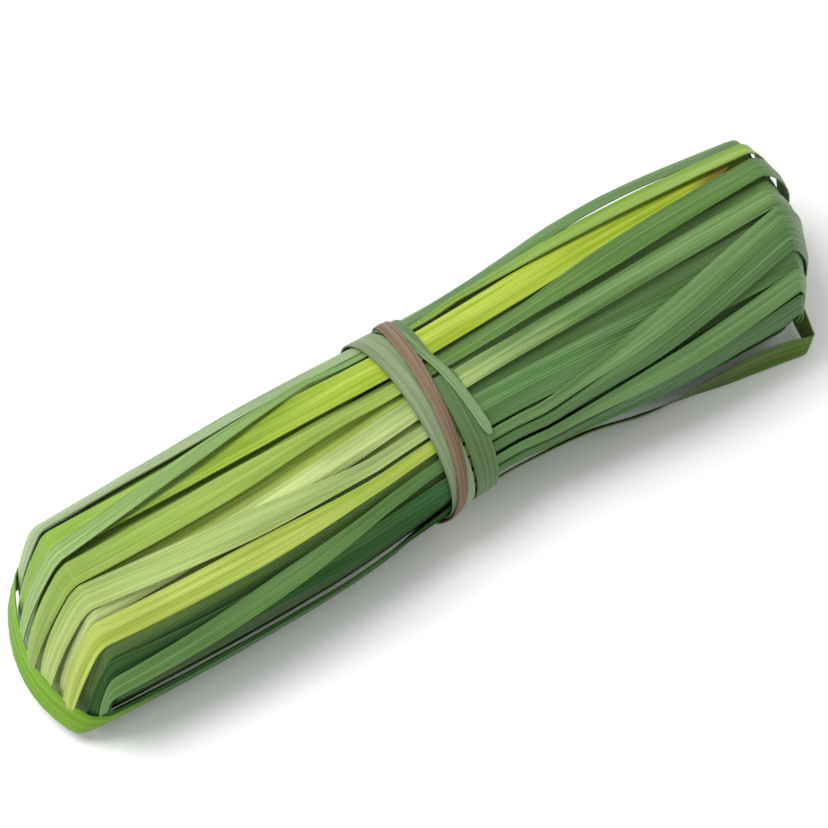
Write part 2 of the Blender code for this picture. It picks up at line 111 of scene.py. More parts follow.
def slide(value, start, stop):
    """0 before start, 1 after stop, and an even slope between."""
    return min(max((value - start) / (stop - start), 0.0), 1.0)


def hank_shape(point):
    x, y, z = point
    reach = min(abs(x - WAIST_AT) / (WAIST_LEFT if x < WAIST_AT else WAIST_RIGHT), 1.0)
    waist = (1.0 - reach * reach) ** 4
    dome = 1.0 - (y / HALF_WIDTH) ** 2 - ((z - AXIS_HEIGHT) / HALF_HEIGHT) ** 2
    along = slide(abs(x), DOME_START, LEFT_RIM)
    swell = DOME_LEFT if x < 0 else DOME_RIGHT
    share = x / HALF_LENGTH
    steep = abs(share) ** 3
    new_x = x + math.copysign(swell * max(dome, 0.0) * along ** 3, x)
    bend = BEND * (1.0 - share ** 2)
    if x < 0:
        above = z - AXIS_HEIGHT
        new_x += (LEFT_LEAN * above - LEFT_BULGE * above * above + LEFT_SLANT * y) * steep
        narrow = 1.0 - NARROW_LEFT * share ** 4
        bend += LEFT_RISE * steep
    else:
        new_x += RIGHT_SLANT * y * steep
        narrow = 1.0 - NARROW_RIGHT * share ** 4
    pull = 1.0 - WAIST_PULL * waist
    flare = 1.0 + FLARE * share
    new_y = y * pull * flare * narrow + bend + WAIST_SHIFT * waist
    new_z = AXIS_HEIGHT + (z - AXIS_HEIGHT) * pull
    new_z = new_z * flare + WAIST_ARCH * waist * max(1.0 - z / ARCH_FADE, 0.0)
    return Vector((new_x, new_y, new_z)) + BOX_SHIFT


top = hank_shape(oval_point(0.0, 90.0, 0.0))
print("top of the waist in mm", [round(c / MM, 1) for c in top])

# %% [markdown]
# ## A blade's section
# A grass blade isn't a flat ribbon. Across its width it may be keeled along the rib, rolled in
# at its edges, or tilted so that one edge slides under the next leaf, as tiles on a roof. The
# section is written as a depth for each place across the blade, from -1 at one edge to 1 at the
# other. It fades out under the tie, which presses the blades flat, and is weaker at the ends,
# where they fold over.

# %% Sections
ROLL_POWER = 2.2                           # the higher it is, the nearer to its edges a blade rolls
PRESSED, FREE = 10.0 * MM, 34.0 * MM       # from the tie: flat as far as here, free from there on
BENT, FOLDED = 84.0 * MM, 110.0 * MM       # where the folds over the ends begin to flatten it again
END_FREEDOM = 0.7


class Section:
    """How deep each place across the blade lies, beyond the oval that it runs on. grow is how
    much wider the blade is than its solid, where it is free."""

    def __init__(self, tilt=0.0, keel=0.0, roll=0.0, grow=1.0):
        self.tilt = tilt
        self.keel = keel
        self.roll = roll
        self.grow = grow

    def depth(self, across):
        keel = self.keel * (1.0 - abs(across))
        roll = self.roll * (abs(across) ** ROLL_POWER - 0.5)
        return 0.5 * self.tilt * across + keel + roll


def smooth(value, start, stop):
    """As slide, with a slope that eases in and out."""
    share = slide(value, start, stop)
    return share * share * (3.0 - 2.0 * share)


def freedom(x):
    """0 where the tie presses a blade flat, 1 along the sides and less at the ends."""
    from_tie = smooth(abs(x), PRESSED, FREE)
    return from_tie * (1.0 - (1.0 - END_FREEDOM) * smooth(abs(x), BENT, FOLDED))


print("freedom at 0, 20, 60 and 110 mm", [round(freedom(x * MM), 2) for x in (0, 20, 60, 110)])

# %% [markdown]
# ## Runs and folds
# A blade is a list of runs along the hank. Where one run ends at an end of the hank and the next
# begins there, the blade folds over that end: a tight bend, a stretch down the end, and a second
# bend. A run keeps its middle line in degrees round the oval, at the left end, the tie and the
# right end. The run on the underside is the mirror image of the one on top, so the stretches
# down the end are side by side and don't cross.

# %% Runs
SIDE_STEP = 4.0 * MM        # from one station to the next
BEND_STEPS = 6              # stations of a bend
END_STEPS = 9               # and of the stretch down an end
SWAY_LENGTH = 95.0 * MM     # half a wave of a layer's sideways sway
LIFT_MIDDLE = 80.0 * MM     # a lifted blade is highest this far from the tie
LIFT_REACH = 50.0 * MM      # and it is off the hank this far to either side of there
TIP_TAPER = 35.0 * MM
TIP_WIDTH = 0.10            # width of a tapered tip, as a share
RIGHT_START = -3.0 * MM     # a blade that runs to the right starts here, under the tie
LEFT_START = -6.0 * MM      # and one that runs to the left here
OUTER_FOLD = 2.2 * MM       # radius of the outer blades' bends
LAYER_FOLD = 1.6 * MM       # and of the layers' bends
FLAT_UNDERSIDE = -0.6       # below this sine of its angle, a blade doesn't bulge outwards


class Run:
    """One run. Its middle line is at the given degrees at the left end, the tie and the right."""

    def __init__(self, start, stop, left, tie, right, half, lift=0.0, lift_at=LIFT_MIDDLE, tip=None,
                 sway=0.0):
        self.start, self.stop = start, stop
        self.left, self.tie, self.right = left, tie, right
        self.half = half
        self.lift, self.lift_at = lift, lift_at
        self.tip = tip
        self.sway = sway

    def mirrored(self, start, stop, half=None):
        """The run below this one, along the underside."""
        return Run(start, stop, 360.0 - self.left, 360.0 - self.tie, 360.0 - self.right,
                   half or self.half, sway=-self.sway)

    def middle(self, x):
        share = min(abs(x) / HALF_LENGTH, 1.0)
        end = self.left if x < 0 else self.right
        return self.tie + (end - self.tie) * share + self.sway * math.sin(math.pi * x / SWAY_LENGTH)

    def raised(self, x):
        away = min(abs(x - self.lift_at) / LIFT_REACH, 1.0)
        return self.lift * (1.0 - away * away) ** 2

    def half_width(self, x, grow):
        half = self.half * (1.0 + (grow - 1.0) * freedom(x))
        if self.tip is None:
            return half
        from_tip = min(abs(x - self.tip) / TIP_TAPER, 1.0)
        return half * (TIP_WIDTH + (1.0 - TIP_WIDTH) * math.sqrt(from_tip))


def side_row(x, run, flip, depth, section, across):
    """The points of one station on a side. flip turns the blade's two edges round."""
    points = []
    free = freedom(x)
    for share in across:
        degrees = run.middle(x) + flip * share * run.half_width(x, section.grow)
        offset = section.depth(share)
        if math.sin(math.radians(degrees)) < FLAT_UNDERSIDE:
            offset = max(offset, 0.0)
        points.append(oval_point(x, degrees, depth - run.raised(x) + offset * free))
    return points


def run_stations(start, stop):
    count = max(int(abs(stop - start) / SIDE_STEP), 2)
    return [start + (stop - start) * k / count for k in range(count + 1)]


def fold_rows(run_in, run_out, side, rim, radius, depth, section, flip, slant, across):
    """Stations over an end. slant moves one edge's fold inwards, so the crease runs askew."""
    insets = [section.depth(share) * END_FREEDOM + slant * (1.0 + share) / 2 for share in across]
    x_bend = side * (rim - radius)
    into = side_row(x_bend, run_in, flip, depth, section, across)
    out = side_row(x_bend, run_out, -flip, depth, section, across)
    into = [point - Vector((side * inset, 0.0, 0.0)) for point, inset in zip(into, insets)]
    out = [point - Vector((side * inset, 0.0, 0.0)) for point, inset in zip(out, insets)]

    def bend_row(here, there, angle):
        points = []
        for a, b in zip(here, there):
            travel = (b - a).normalized() * (radius * (1.0 - math.cos(angle)))
            points.append(a + travel + Vector((side * radius * math.sin(angle), 0.0, 0.0)))
        return points

    angles = [math.pi / 2 * k / BEND_STEPS for k in range(1, BEND_STEPS + 1)]
    rows = [into] + [bend_row(into, out, angle) for angle in angles]
    first = rows[-1]
    last = bend_row(out, into, math.pi / 2)
    for k in range(1, END_STEPS):
        rows.append([a.lerp(b, k / END_STEPS) for a, b in zip(first, last)])
    rows += [bend_row(out, into, angle) for angle in reversed(angles)]
    rows.append(out)
    return rows


def wound_rows(runs, depth, rims, radius, section, across, slant=0.0):
    """All the stations of a blade, in the straight hank."""
    rows = []
    flip = 1.0
    for index, run in enumerate(runs):
        ends = {"left": -(rims[0] - radius), "right": rims[1] - radius}
        start = ends.get(run.start, run.start)
        stop = ends.get(run.stop, run.stop)
        stations = run_stations(start, stop)
        first = 1 if index else 0
        last = len(stations) - 1 if run.stop in ends else len(stations)
        for x in stations[first:last]:
            rows.append(side_row(x, run, flip, depth, section, across))
        if index + 1 < len(runs):
            side = -1.0 if run.stop == "left" else 1.0
            rim = rims[0] if side < 0 else rims[1]
            rows += fold_rows(run, runs[index + 1], side, rim, radius, depth, section, flip, slant,
                              across)
            flip = -flip
    return rows


sample = Run(RIGHT_START, "right", 90, 90, 90, 8.0)
sample_rows = wound_rows([sample, sample.mirrored("right", RIGHT_START)], 0.0, (LEFT_RIM, RIGHT_RIM),
                         OUTER_FOLD, Section(), (-1.0, 0.0, 1.0))
print("a blade round one end has", len(sample_rows), "stations")

# %% [markdown]
# ## From stations to a surface
# The stations become one open sheet of quads, the blade's outer face. Each point also keeps its
# place on the blade, so that ribs, veins and colour can follow the leaf: across it from -1 to 1,
# along it in metres, and along it as a share of its length.

# %% A sheet of quads with its places
def blade_sheet(name, places, across, outward):
    """places are rows of points of the real hank. The first quad's front looks along outward."""
    middle = len(across) // 2
    along = [0.0]
    for before, after in zip(places, places[1:]):
        along.append(along[-1] + (after[middle] - before[middle]).length)
    columns = len(across)
    points = [point for row in places for point in row]
    faces = []
    for i in range(len(places) - 1):
        for j in range(columns - 1):
            a = i * columns + j
            faces.append((a, a + 1, a + columns + 1, a + columns))
    normal = (points[columns + 1] - points[0]).cross(points[columns] - points[1])
    if normal.dot(outward(points[0])) < 0:
        faces = [face[::-1] for face in faces]
    mesh = bpy.data.meshes.new(name)
    mesh.from_pydata(points, [], faces)
    place = mesh.attributes.new("blade_place", "FLOAT_VECTOR", "POINT")
    for i, distance in enumerate(along):
        for j, share in enumerate(across):
            place.data[i * columns + j].vector = (share, distance, distance / along[-1])
    sheet = bpy.data.objects.new(name, mesh)
    bpy.context.scene.collection.objects.link(sheet)
    return sheet


def from_axis(point):
    """The way outwards at a point: away from the hank's axis."""
    return point - Vector((point.x, BEND + BOX_SHIFT.y, AXIS_HEIGHT))


def spread(count):
    """Places across a blade of so many quads, from -1 at one edge to 1 at the other."""
    return [-1.0 + 2.0 * j / count for j in range(count + 1)]


print("places across a wide blade", [round(share, 2) for share in spread(14)])

# %% [markdown]
# ## The finish of a leaf
# A fresh grass blade has a thin waxy skin over parallel veins, so it is satin, with long soft
# highlights. Its colour runs along it in streaks, and the pale streaks are lifted further as painted
# highlight. It is paler on the rib, and most blades are darker at the edges, which is painted shade
# there. One half of a folded blade can also be darkened as painted shade. The colour changes slowly
# from the base to the tip. All of that follows the leaf, so the pattern reads the blade_place
# attribute. The veins of the real leaf are about 0.4 mm apart, too fine for this view, so every
# second one is drawn.

# %% Colour and node helpers
def linear(hex_colour):
    """An sRGB hex colour as linear RGBA."""
    values = [int(hex_colour[k:k + 2], 16) / 255.0 for k in (1, 3, 5)]
    values = [v / 12.92 if v <= 0.04045 else ((v + 0.055) / 1.055) ** 2.4 for v in values]
    return (*values, 1.0)


def add_node(tree, kind, links=None, values=None, **settings):
    """A node with its settings, the sockets that feed its inputs and its inputs' values."""
    node = tree.nodes.new(kind)
    for key, value in settings.items():
        setattr(node, key, value)
    for key, value in (values or {}).items():
        node.inputs[key].default_value = value
    for key, socket in (links or {}).items():
        tree.links.new(socket, node.inputs[key])
    return node


def calculator(tree):
    """A function that adds a Math node to the tree and returns its output."""
    def calculate(operation, *terms, clamp=False):
        links = {}
        values = {}
        for index, term in enumerate(terms):
            if isinstance(term, (int, float)):
                values[index] = term
            else:
                links[index] = term
        node = add_node(tree, "ShaderNodeMath", links, values, operation=operation, use_clamp=clamp)
        return node.outputs[0]
    return calculate


print("lime in linear RGB", [round(v, 3) for v in linear("#b4d63a")[:3]])

# %% The leaf finish
RIB_HALF = 1.0 / 16.0      # half of the rib's width, as a share of half the blade's
EDGE_FROM = 0.9            # the edge's colour begins here
FLECK_EDGE = 0.111         # how softly a fleck fades out
VEINS_ACROSS = 24          # a vein about every 0.8 mm on a blade 10 mm wide
STREAKS_ACROSS = 3.5
STREAKS_ALONG = 14.0       # per metre: streaks about 70 mm long


def leaf_finish(name, start, end, rib="#c9dc8c", edge="#5f7a3c", turn=(0.0, 1.0), streak_and_highlight=0.55, vein=0.16,
                fleck=0.0, fleck_colour="#8a6f3c", rib_strength=0.22, edge_strength=0.30, dry_start=0.0,
                roughness=0.42, gloss=0.32, painted_half_shade=0.0, seed=0.0):
    """A grass blade: waxy skin over parallel veins. Its colour goes over from start to end between
    the two shares of its length in turn. The half shade darkens one half of it: painted shade, as on
    a blade folded along its rib whose one half turns away from the light. The edge colour is by
    default a darker green, painted shade at the edges, and the pale streaks carry painted highlight.
    dry_start is the share of its length that is dry."""
    material = bpy.data.materials.new(name)
    material.use_nodes = True
    tree = material.node_tree
    shader = tree.nodes["Principled BSDF"]
    maths = calculator(tree)
    place = add_node(tree, "ShaderNodeAttribute", attribute_name="blade_place")
    parts = add_node(tree, "ShaderNodeSeparateXYZ", {0: place.outputs["Vector"]})
    across, along, share = parts.outputs

    def mix(factor, first, second):
        node = add_node(tree, "ShaderNodeMix", data_type="RGBA")
        for index, item in ((0, factor), (6, first), (7, second)):
            if isinstance(item, str):
                node.inputs[index].default_value = linear(item)
            elif isinstance(item, (int, float)):
                node.inputs[index].default_value = item
            else:
                tree.links.new(item, node.inputs[index])
        return node.outputs[2]

    def above(value, low, high):
        """0 where the value is below low, 1 where it is above high. high may be below low."""
        slope = 1.0 / (high - low)
        return maths("MULTIPLY_ADD", value, slope, -low * slope, clamp=True)

    def tint(hue, saturation, value):
        settings = {"Hue": hue, "Saturation": saturation, "Value": value}
        return add_node(tree, "ShaderNodeHueSaturation", {"Color": body}, settings).outputs[0]

    def noise(across_scale, along_scale, offset, detail, rough=0.5):
        spot = add_node(tree, "ShaderNodeCombineXYZ",
                        {0: maths("MULTIPLY", across, across_scale),
                         1: maths("MULTIPLY", along, along_scale)}, {2: seed + offset})
        node = add_node(tree, "ShaderNodeTexNoise", {"Vector": spot.outputs[0]},
                        {"Scale": 1.0, "Detail": detail, "Roughness": rough})
        return node.outputs[0]

    grain = noise(STREAKS_ACROSS, STREAKS_ALONG, 0.0, 5.0, 0.62)
    patch = noise(0.7, 20.0, 5.0, 2.0)
    fine = noise(11.0, 45.0, 7.0, 3.0)
    veins = maths("SINE", maths("MULTIPLY", across, VEINS_ACROSS / 2 * math.pi))
    vein_mask = maths("MULTIPLY_ADD", veins, 0.5, 0.5)

    wander = maths("ADD", share, maths("MULTIPLY_ADD", patch, 0.16, -0.08))
    body = mix(above(wander, *turn), start, end)
    shade = tint(0.502, 1.08, 0.42)
    # painted highlight: this paler tint lifts the pale streaks well above the body colour, partly the
    # leaf's own paler streaks and partly painted highlight
    light = tint(0.485, 0.78, 1.50)
    body = mix(maths("MULTIPLY", above(grain, 0.417, 0.694), streak_and_highlight), body, light)
    body = mix(maths("MULTIPLY", above(grain, 0.5, 0.25), streak_and_highlight), body, shade)
    body = mix(maths("MULTIPLY", above(patch, 0.45, 0.783), streak_and_highlight * 0.8), body, shade)
    body = mix(maths("MULTIPLY", above(fine, 0.4, 0.733), 0.25), body, shade)
    body = mix(maths("MULTIPLY", vein_mask, vein), body, shade)
    # painted shade: one half of a blade folded along its rib is darkened, as where that half turns away
    # from the light
    if painted_half_shade != 0.0:
        near_rib = math.copysign(0.05, painted_half_shade)
        painted_shade_half = above(across, -near_rib, near_rib)
        body = mix(maths("MULTIPLY", painted_shade_half, abs(painted_half_shade)), body, shade)

    width = maths("ABSOLUTE", across)
    body = mix(maths("MULTIPLY", above(width, RIB_HALF, 0.0), rib_strength), body, rib)
    # painted shade at the edges: most blades and strips darken towards their edges with a darker green or
    # brown, as where they curve away from the light; the loop blade's paler edge is its real drying
    body = mix(maths("MULTIPLY", above(width, EDGE_FROM, 1.0), edge_strength), body, edge)
    if fleck > 0.0:
        spots = noise(1.6, 90.0, 9.0, 3.0, 0.7)
        body = mix(above(spots, 1.0 - fleck, 1.0 - fleck + FLECK_EDGE), body, fleck_colour)
    if dry_start > 0.0:
        body = mix(above(wander, dry_start, 0.0), body, fleck_colour)
    tree.links.new(body, shader.inputs["Base Color"])

    tree.links.new(maths("MULTIPLY_ADD", grain, 0.25, roughness - 0.125), shader.inputs["Roughness"])
    relief = maths("ADD", maths("MULTIPLY", vein_mask, 0.5), grain)
    bump = add_node(tree, "ShaderNodeBump", {"Height": relief}, {"Strength": 0.45, "Distance": 0.3 * MM})
    tree.links.new(bump.outputs[0], shader.inputs["Normal"])
    shader.inputs["IOR"].default_value = 1.42
    shader.inputs["Specular IOR Level"].default_value = gloss
    return material


sample_finish = leaf_finish("test leaf", "#6d9c4c", "#5d8f45")
print("a leaf finish has", len(sample_finish.node_tree.nodes), "nodes")
bpy.data.materials.remove(sample_finish)

# %% [markdown]
# ## Thickness, rib and ripple
# Each sheet goes through one Geometry Nodes tree. It raises the rib, lets the blade ripple, and
# then gives it thickness: the sheet is extruded inwards, the copy is turned round, and both are
# merged into one closed skin.

# %% The blade tree
def blade_tree():
    tree = bpy.data.node_groups.new("grass blade", "GeometryNodeTree")
    face = tree.interface
    face.new_socket("Geometry", in_out="INPUT", socket_type="NodeSocketGeometry")
    for label, value in (("Thickness", 0.4 * MM), ("Rib Height", 0.15 * MM), ("Rib Width", 0.12),
                         ("Ripple Height", 0.15 * MM), ("Ripples per Metre", 25.0),
                         ("Edge Wave", 0.1 * MM), ("Seed", 0.0)):
        socket = face.new_socket(label, in_out="INPUT", socket_type="NodeSocketFloat")
        socket.default_value = value
    face.new_socket("Material", in_out="INPUT", socket_type="NodeSocketMaterial")
    face.new_socket("Geometry", in_out="OUTPUT", socket_type="NodeSocketGeometry")
    given = add_node(tree, "NodeGroupInput").outputs
    maths = calculator(tree)

    place = add_node(tree, "GeometryNodeInputNamedAttribute", values={0: "blade_place"},
                     data_type="FLOAT_VECTOR")
    across, along = add_node(tree, "ShaderNodeSeparateXYZ", {0: place.outputs[0]}).outputs[:2]
    width = maths("ABSOLUTE", across)

    def noise(first, second, offset, detail):
        spot = add_node(tree, "ShaderNodeCombineXYZ",
                        {0: first, 1: second, 2: maths("ADD", given["Seed"], offset)})
        node = add_node(tree, "ShaderNodeTexNoise", {"Vector": spot.outputs[0]},
                        {"Scale": 1.0, "Detail": detail})
        return maths("MULTIPLY_ADD", node.outputs[0], 2.0, -1.0)

    rib = maths("SUBTRACT", 1.0, maths("DIVIDE", width, given["Rib Width"]), clamp=True)
    ripples = maths("MULTIPLY", along, given["Ripples per Metre"])
    ripple = noise(maths("MULTIPLY", across, 1.6), ripples, 0.0, 2.0)
    edge_swing = noise(maths("SIGN", across), maths("MULTIPLY", ripples, 2.2), 3.0, 1.0)
    edge = maths("MULTIPLY", edge_swing, maths("POWER", width, 3.0))
    rise = maths("ADD", maths("MULTIPLY", rib, given["Rib Height"]),
                 maths("ADD", maths("MULTIPLY", ripple, given["Ripple Height"]),
                       maths("MULTIPLY", edge, given["Edge Wave"])))
    normal = add_node(tree, "GeometryNodeInputNormal")
    push = add_node(tree, "ShaderNodeVectorMath", {0: normal.outputs[0], "Scale": rise}, operation="SCALE")
    shaped = add_node(tree, "GeometryNodeSetPosition",
                      {"Geometry": given["Geometry"], "Offset": push.outputs[0]})

    extruded = add_node(tree, "GeometryNodeExtrudeMesh",
                        {"Mesh": shaped.outputs[0],
                         "Offset Scale": maths("MULTIPLY", given["Thickness"], -1.0)},
                        {"Individual": False})
    turned = add_node(tree, "GeometryNodeFlipFaces", {"Mesh": extruded.outputs[0]})
    both = add_node(tree, "GeometryNodeJoinGeometry")
    tree.links.new(turned.outputs[0], both.inputs[0])
    tree.links.new(shaped.outputs[0], both.inputs[0])
    closed = add_node(tree, "GeometryNodeMergeByDistance", {"Geometry": both.outputs[0]},
                      {"Distance": 0.001 * MM})
    real = add_node(tree, "GeometryNodeRealizeInstances", {"Geometry": closed.outputs[0]})
    finished = add_node(tree, "GeometryNodeSetMaterial",
                        {"Geometry": real.outputs[0], "Material": given["Material"]})
    add_node(tree, "NodeGroupOutput", {0: finished.outputs[0]})
    return tree


BLADE_TREE = blade_tree()
print("blade tree has", len(BLADE_TREE.nodes), "nodes")

# %% Dress a sheet with the tree and put it in its node's place
SHARP_EDGE = 55.0          # degrees: edges sharper than this are shaded as edges
triangle_counts = []


def dress(sheet, node, finish, **sizes):
    """Runs the blade tree on the sheet, keeps the result as a plain mesh, and files the piece."""
    modifier = sheet.modifiers.new("grass blade", "NODES")
    modifier.node_group = BLADE_TREE
    sockets = {item.name: item.identifier for item in BLADE_TREE.interface.items_tree
               if item.in_out == "INPUT"}
    for label, value in sizes.items():
        modifier[sockets[label.replace("_", " ")]] = value
    modifier[sockets["Material"]] = finish
    graph = bpy.context.evaluated_depsgraph_get()
    solid = bpy.data.meshes.new_from_object(sheet.evaluated_get(graph))
    sheet.modifiers.remove(modifier)
    old = sheet.data
    sheet.data = solid
    bpy.data.meshes.remove(old)
    solid.name = sheet.name
    solid.shade_smooth()
    solid.set_sharp_from_angle(angle=math.radians(SHARP_EDGE))
    solid.calc_loop_triangles()
    triangle_counts.append(len(solid.loop_triangles))
    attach(sheet, "root")
    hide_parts(node)


def fold_blade(node, runs, depth, rims, radius, section, finish, count=14, slant=0.0, **sizes):
    """One blade, from its runs to the finished piece."""
    across = spread(count)
    rows = wound_rows(runs, depth, rims, radius, section, across, slant)
    places = [[hank_shape(point) for point in row] for row in rows]
    sheet = blade_sheet(node.replace("leaf_", "blade_"), places, across, from_axis)
    dress(sheet, node, finish, **sizes)


# %% [markdown]
# ## The single blades outside
# Six broad blades stand out. Each has its own pair of colours, because a blade is pale near its
# base and deeper green towards its tip, and its own section. The finishes of the leaf round the
# left end and of the loose loop are here too.

# %% Finishes of the single blades
lime = leaf_finish("fresh lime lemongrass blade", "#a9c22c", "#8fb843", turn=(0.25, 0.45), rib="#cfe070",
                   edge="#8f9a38", fleck=0.30, dry_start=0.03, fleck_colour="#7d6a2c", painted_half_shade=0.22,
                   seed=1.0)
pale_rolled = leaf_finish("pale rolled underside of a blade", "#bdd07e", "#6c9450", turn=(0.42, 0.56),
                          rib="#dfeab0", edge="#6f8a45", seed=2.0)
far_pale = leaf_finish("pale grey-green blade along the far side", "#8fab70", "#a3b985",
                       rib="#bdd09a", seed=3.0)
end_bright = leaf_finish("bright green blade round the end", "#3f6a38", "#74aa1a", turn=(0.34, 0.44),
                         rib="#8fbc3c", gloss=0.15, seed=8.0)
far_green = leaf_finish("mid green blade off the far side", "#5f8c44", "#54803c", rib="#9fc07a", seed=4.0)
wide_dark = leaf_finish("wide dark green blade", "#5f8a4c", "#648f50", rib="#a3c080", edge="#4f6f3a",
                        painted_half_shade=0.40, seed=5.0)
near_green = leaf_finish("dark green blade", "#44713f", "#34572f", rib="#6f9460", painted_half_shade=0.35,
                         roughness=0.6, gloss=0.0, seed=6.0)
# its darker first part lies beside the hank and on the floor in the hank's shadow: partly the leaf's own
# deeper olive, partly painted shade
loop_olive = leaf_finish("olive blade drying at its edges", "#3f5a26", "#5d7f2c", turn=(0.55, 0.9),
                         rib="#6f7f42", edge="#8a8a55", edge_strength=0.6, fleck=0.25, seed=7.0)

# %% The single blades
NEAR_GREEN_LOW = 14.0      # half of its lower run, in degrees, wide enough to close the gap there
WIDE = dict(Thickness=0.40 * MM, Rib_Height=0.15 * MM, Ripple_Height=0.22 * MM, Edge_Wave=0.25 * MM)
outer = (LEFT_RIM, RIGHT_RIM)

lime_run = Run(116.0 * MM, "left", 64, 72, 64, 11.0, tip=116.0 * MM)
fold_blade("leaf_lime", [lime_run, lime_run.mirrored("left", 100.0 * MM)],
           0.0, (LEFT_RIM - 0.3 * MM, RIGHT_RIM), OUTER_FOLD, Section(keel=1.0 * MM), lime,
           slant=1.2 * MM, Seed=1.0, **WIDE)

rolled_run = Run("left", "right", 117, 106, 97, 6.5)
fold_blade("leaf_rolled_pale",
           [rolled_run.mirrored(LEFT_START, "left"), rolled_run, rolled_run.mirrored("right", RIGHT_START)],
           0.0, (LEFT_RIM - 0.6 * MM, RIGHT_RIM - 0.4 * MM), OUTER_FOLD, Section(roll=1.4 * MM),
           pale_rolled, slant=1.0 * MM, Seed=2.0, **WIDE)

far_run = Run(LEFT_START, "left", 38, 42, 42, 9.0)
fold_blade("leaf_far_left", [far_run, far_run.mirrored("left", LEFT_START)],
           0.0, outer, OUTER_FOLD, Section(keel=0.4 * MM), far_pale, slant=0.8 * MM, Seed=3.0, **WIDE)

arched_run = Run(RIGHT_START, "right", 38, 38, 42, 10.0, lift=2.2 * MM)
fold_blade("leaf_arched", [arched_run, arched_run.mirrored("right", RIGHT_START)],
           0.0, outer, OUTER_FOLD, Section(keel=-0.6 * MM), far_green, Seed=4.0, **WIDE)

dark_run = Run(RIGHT_START, "right", 128, 128, 132, 11.0)
fold_blade("leaf_wide_dark", [dark_run, dark_run.mirrored("right", RIGHT_START, half=9.0)],
           0.0, outer, OUTER_FOLD, Section(keel=1.2 * MM), wide_dark, Seed=5.0, **WIDE)

green_run = Run(LEFT_START, "left", 154, 163, 163, 9.0)
fold_blade("leaf_near_green", [green_run, green_run.mirrored("left", LEFT_START, half=NEAR_GREEN_LOW)],
           0.0, (LEFT_RIM - 0.3 * MM, RIGHT_RIM), OUTER_FOLD, Section(keel=0.9 * MM), near_green,
           slant=0.8 * MM, Seed=6.0, **WIDE)
print("single blades done,", sum(triangle_counts), "triangles")

# %% [markdown]
# ## Crossing blades
# In the photo narrow blades cross over the broad ones. Each comes out from under the tie in a gap
# between two broad ones, rises, widens, crosses over on a slant, bends over the end and hangs
# down there with a narrower tip.

# %% Crossing blades
CROSSING_RISE = 1.8 * MM       # how far its solid lies above the broad ones
CROSSING_FROM = 14.0 * MM      # where it begins to rise, from the tie
CROSSING_UP = 27.0 * MM        # where it is up, and begins to cross and to widen
CROSSING_WIDE = 70.0 * MM      # where it has its full width
CROSSING_GROWTH = 0.80         # how much wider it is there than in its gap
CROSSING_HANG = 0.92           # share of the end that its tip hangs down
CROSSING_TIP = 0.55            # width of its tip, as a share
CROSSING_SEED = 60.0
HANG_STEPS = 10
CROSSING_TOUCH = 0.8 * MM      # the finer blade lies this much closer to those it crosses


class CrossingRun(Run):
    """The run of a crossing blade: it rises out of its gap, and only then turns aside."""

    def middle(self, x):
        end = self.left if x < 0 else self.right
        return self.tie + (end - self.tie) * slide(abs(x), CROSSING_UP, HALF_LENGTH)

    def raised(self, x):
        rise = (CROSSING_RISE - CROSSING_TOUCH) * smooth(abs(x), CROSSING_FROM, CROSSING_UP)
        return super().raised(x) + rise

    def half_width(self, x, grow):
        return self.half * (1.0 + CROSSING_GROWTH * smooth(abs(x), CROSSING_UP, CROSSING_WIDE))


CROSSING = (
    # end, degrees at the tie and at the end, half of its width in degrees, lift, colours, keel (mm)
    ("right", 53.0, 60.0, 3.5, 0.4, "#7fa33c", "#8fb43c", 0.4),
    ("right", 91.0, 77.0, 4.0, 0.4, "#5c8438", "#56803c", -0.5),
    ("right", 145.0, 108.0, 3.5, 1.0, "#6c9454", "#5c884a", 0.6),
    ("right", 154.0, 121.0, 3.5, 0.6, "#507a40", "#577f46", -0.5),
    ("right", 165.0, 146.0, 4.0, 0.4, "#5f8c4a", "#6c9654", 0.6),
    ("right", 176.0, 163.0, 4.0, 0.0, "#4a743c", "#4a713c", 0.4),
    ("left", 55.0, 80.0, 3.0, 0.8, "#7ba552", "#93b465", 0.4),
    ("left", 91.0, 92.0, 4.0, 0.0, "#97b548", "#88a83e", -0.5),
    ("left", 121.0, 105.0, 4.0, 1.0, "#aac274", "#a8bf62", 0.5),
    ("left", 131.0, 128.0, 4.0, 0.4, "#adc446", "#b6c954", -0.4),
    ("left", 144.0, 166.0, 4.0, 0.6, "#55823c", "#659347", 0.5),
)


